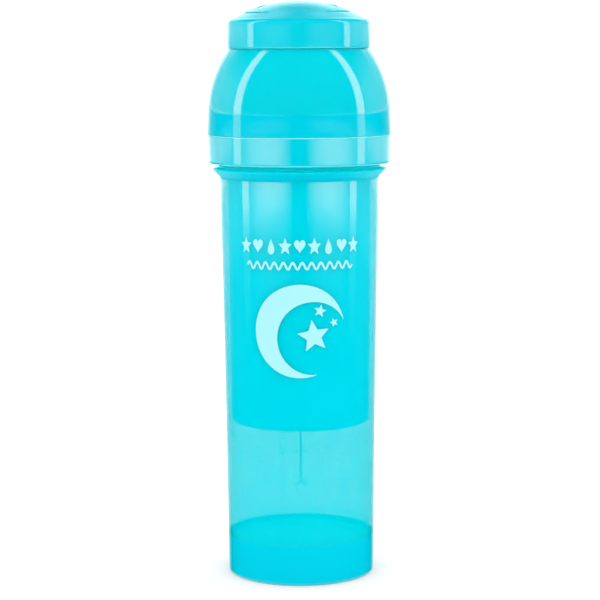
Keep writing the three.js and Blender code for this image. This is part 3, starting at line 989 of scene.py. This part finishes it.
def make_scale():
    """The volume scale up the back: a line, a long mark and figures every 30 ml, a short mark between."""
    span = MARK_PITCH * (MARKS - 1)
    lines = [dash(0, FIRST_MARK + span / 2, LINE_WIDTH, span)]
    figures = []
    for i in range(MARKS):
        z = FIRST_MARK + MARK_PITCH * i
        lines.append(dash(1.65, z, 2.5, MARK_WIDTH))
        lines.append(dash(-1.85, z, 2.9, MARK_WIDTH))
        if i + 1 < MARKS:
            lines.append(dash(1.3, z + MARK_PITCH / 2, 1.6, SHORT_MARK_WIDTH))
        figures.append(flat_text(str(ML_PER_MARK * (i + 1)), FIGURES_AT, z, FIGURE_SIZE))
    figures.append(flat_text("ml", FIGURES_AT, FIRST_MARK + span + 5.2, UNIT_SIZE))
    figures += [flat_outlines([outline]) for outline in lines]
    printed("print_scale", merged(figures), BACK, SCALE_INK_PAINTED_SHADE)


EMBLEM_THICKNESS = 0.45
EMBLEM_SINK = 0.1  # how far its underside is sunk in the crown


def make_crown_emblem():
    """A moon and stars that stand a little proud of the disc's crown."""
    crown = crown_at(0)
    shapes = [crescent(-0.5, 0, 20.5, 15.2, 6.6, math.radians(-90))]
    shapes.append(star(-7.5, 9.5, 3.6, turn=0.3))
    shapes.append(star(7.5, 10.5, 4.2, turn=-0.2))
    shapes.append(star(0, 16.8, 3.0))
    # The emblem is in the crown's darker plastic, with its painted shade.
    emblem = raised(
        "crown_emblem",
        flat_outlines(shapes),
        lambda x, y, lift: (x, y, crown(math.hypot(x, y)) - EMBLEM_SINK + lift),
        EMBLEM_THICKNESS,
        DISC_CROWN_PAINTED_SHADE,
    )
    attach(emblem, "lid")


# ---------------------------------------------------------------- stage


FLOOR_HALF_WIDTH = 6.0
FLOOR_DROP = 0.05 * MM  # the floor is this far below the foot, so that the two don't share a plane


def make_floor():
    """Paper white enough that only the shade close round the foot shows, with a faint warm painted glow that
    lifts that shade and keeps it grey.
    """
    bm = bmesh.new()
    bmesh.ops.create_grid(bm, x_segments=1, y_segments=1, size=FLOOR_HALF_WIDTH)
    bmesh.ops.translate(bm, verts=bm.verts, vec=(0, 0, -FLOOR_DROP))
    paper = bpy.data.materials.new("floor_paper_painted_glow")
    paper.use_nodes = True
    shader = paper.node_tree.nodes["Principled BSDF"]
    shader.inputs["Base Color"].default_value = (0.76, 0.73, 0.72, 1)
    shader.inputs["Roughness"].default_value = 0.9
    shader.inputs["Specular IOR Level"].default_value = 0.0
    # Painted glow: the floor gives off a faint warm light of its own, though it is no lamp.
    shader.inputs["Emission Color"].default_value = (1, 0.5, 0.4, 1)
    shader.inputs["Emission Strength"].default_value = 0.08
    floor = finished("floor", bm, paper)
    floor.visible_glossy = False


# What gloss mirrors. Each light has its brightness by azimuth from the front, in degrees, the same to the
# left and the right, and then the share of it that is there by height, as the sine of the elevation.
BEHIND_LOW = ((-0.2, 0), (-0.16, 0.02))
BEHIND_HIGH = ((0.3, 0.33), (0.44, 0.14), (0.62, 0))
MIRRORED = {
    "soft_boxes": (
        ((9.5, 0), (15, 0.55), (24, 1.4), (35, 1.82), (50, 1.85), (62, 1.3), (72, 0.6), (78, 0.3),
         (90, 0.15)),
        ((-0.165, 0), (-0.141, 0.05), (-0.132, 0.08), (-0.128, 0.12), (-0.124, 0.22),
         (-0.1216, 0.42), (-0.1188, 0.64), (-0.1163, 1), (-0.052, 1), (-0.045, 0), (0.023, 0),
         (0.027, 0.22), (0.044, 0.22), (0.049, 0)),
    ),
    "strips": (
        ((77.5, 0), (79, 2.0), (90, 2.0), (91.5, 0)),
        ((-0.17, 0), (-0.132, 0.07), (-0.118, 0.24), (-0.108, 1), (0.8, 1), (0.87, 0)),
    ),
    "behind_beside": (
        ((91.5, 0), (94, 0.85), (106, 1.05), (118, 1.1), (126, 0)),
        (*BEHIND_LOW, (-0.13, 0.04), (-0.115, 0.05), (-0.1, 0.06), (-0.083, 0.08), (-0.078, 1),
         (-0.05, 0.93), (-0.045, 0), (0.015, 0), (0.018, 0.8), (0.031, 0.8), (0.034, 0), (0.036, 0),
         (0.042, 0.3), *BEHIND_HIGH),
    ),
    "behind": (
        ((118, 0), (126, 1.2), (140, 1.3), (180, 1.5)),
        (*BEHIND_LOW, (-0.13, 0.035), (-0.115, 0.045), (-0.1, 0.05), (-0.083, 0.08), (-0.078, 0.68),
         (-0.05, 0.64), (-0.045, 0), (0.01, 0), (0.013, 0.62), (0.026, 0.55), (0.03, 0.3), *BEHIND_HIGH),
    ),
    "behind_at_the_lid": (
        ((124, 0), (133, 0.08), (140, 0.2), (149, 0.42), (180, 0.42)),
        ((-0.06, 0), (-0.047, 1), (0.01, 1), (0.013, 0)),
    ),
    "above_behind": (
        ((136, 0), (150, 0.8), (168, 0.7), (177, 0.2), (180, 0.16)),
        ((0.3, 0), (0.42, 1), (0.76, 1), (0.86, 0.2), (0.93, 0)),
    ),
    "far_behind": (((148, 0), (160, 0.7), (180, 1.0)), ((-1, 1), (0.3, 1), (0.6, 0))),
    "ground": (((0, 1.2), (180, 1.2)), ((-1, 1), (-0.5, 1), (-0.3, 0))),
}
WARM, NEUTRAL, COOL = (1, 0.58, 0.45), (0.95, 0.9, 0.85), (0.75, 1, 1)
MIRRORED_TINTS = ((0, WARM), (124, WARM), (146, NEUTRAL), (170, COOL))
BRIGHTEST = 3.0  # brightnesses are ramped as shares of this


def math_node(tree, operation, *values):
    made = tree.nodes.new("ShaderNodeMath")
    made.operation = operation
    for socket, value in zip(made.inputs, values):
        if isinstance(value, bpy.types.NodeSocket):
            tree.links.new(value, socket)
        else:
            socket.default_value = value
    return made.outputs["Value"]


def ramp(tree, value, stops):
    """A ramp through (position, colour or grey) stops, all from 0 to 1."""
    made = tree.nodes.new("ShaderNodeValToRGB")
    elements = made.color_ramp.elements
    while len(elements) < len(stops):
        elements.new(0.5)
    for element, (place, colour) in zip(elements, stops):
        element.position = place
        element.color = (*colour, 1) if isinstance(colour, tuple) else (colour, colour, colour, 1)
    tree.links.new(value, made.inputs["Fac"])
    return made.outputs["Color"]


def mirrored_light(tree, direction):
    """The tint of what gloss mirrors in a direction, and the sum of the MIRRORED lights as its strength."""
    split = tree.nodes.new("ShaderNodeSeparateXYZ")
    tree.links.new(direction, split.inputs["Vector"])
    across = math_node(tree, "ABSOLUTE", split.outputs["X"])
    front = math_node(tree, "MULTIPLY", split.outputs["Y"], -1)
    azimuth = math_node(tree, "DIVIDE", math_node(tree, "ARCTAN2", across, front), math.pi)
    height = math_node(tree, "MULTIPLY_ADD", split.outputs["Z"], 0.5, 0.5)
    total = 0.0
    for by_azimuth, by_height in MIRRORED.values():
        level = ramp(tree, azimuth, [(deg / 180, value / BRIGHTEST) for deg, value in by_azimuth])
        share = ramp(tree, height, [(0.5 + 0.5 * z, value) for z, value in by_height])
        total = math_node(tree, "ADD", math_node(tree, "MULTIPLY", level, share), total)
    tint = ramp(tree, azimuth, [(deg / 180, colour) for deg, colour in MIRRORED_TINTS])
    return tint, math_node(tree, "MULTIPLY", total, BRIGHTEST)


WHITE_ROOM = 1.65
WHITE_BACKDROP = 1.1  # the same room, as the camera sees it


def make_world():
    """A white room to the eye and for soft light, and a studio with soft boxes to anything glossy."""
    world = bpy.data.worlds.new("studio")
    bpy.context.scene.world = world
    world.use_nodes = True
    tree = world.node_tree
    tree.nodes.clear()
    out = tree.nodes.new("ShaderNodeOutputWorld")
    soft = node(tree, "ShaderNodeBackground", Color=(1, 1, 1, 1))
    mirrored = tree.nodes.new("ShaderNodeBackground")
    mix = tree.nodes.new("ShaderNodeMixShader")
    path = tree.nodes.new("ShaderNodeLightPath")
    place = tree.nodes.new("ShaderNodeTexCoord")
    to_camera = path.outputs["Is Camera Ray"]
    level = math_node(tree, "MULTIPLY_ADD", to_camera, WHITE_BACKDROP - WHITE_ROOM, WHITE_ROOM)
    tree.links.new(level, soft.inputs["Strength"])
    tint, strength = mirrored_light(tree, place.outputs["Generated"])
    tree.links.new(tint, mirrored.inputs["Color"])
    tree.links.new(strength, mirrored.inputs["Strength"])
    tree.links.new(path.outputs["Is Glossy Ray"], mix.inputs["Fac"])
    tree.links.new(soft.outputs["Background"], mix.inputs[1])
    tree.links.new(mirrored.outputs["Background"], mix.inputs[2])
    tree.links.new(mix.outputs["Shader"], out.inputs["Surface"])


SENSOR_MM, LENS_MM = 36, 120
CAMERA_PLACE = (0, -0.7735, 0.2042)
PITCH_DOWN_DEG, ROLL_DEG = 7.18, -0.27


def make_camera():
    camera = bpy.data.cameras.new("camera")
    camera.sensor_width = SENSOR_MM
    camera.lens = LENS_MM
    holder = bpy.data.objects.new("camera", camera)
    holder.location = CAMERA_PLACE
    holder.rotation_mode = "XYZ"
    look = Euler((math.radians(90 - PITCH_DOWN_DEG), 0, 0)).to_quaternion()
    roll = Euler((0, 0, math.radians(ROLL_DEG))).to_quaternion()
    holder.rotation_euler = (look @ roll).to_euler()
    bpy.context.scene.collection.objects.link(holder)
    bpy.context.scene.camera = holder
    bpy.context.scene.view_settings.view_transform = "Standard"


make_bottle()
make_collar()
make_teat()
make_lid()
make_inner_pieces()
make_front_print()
make_scale()
make_crown_emblem()
make_floor()
make_world()
make_camera()
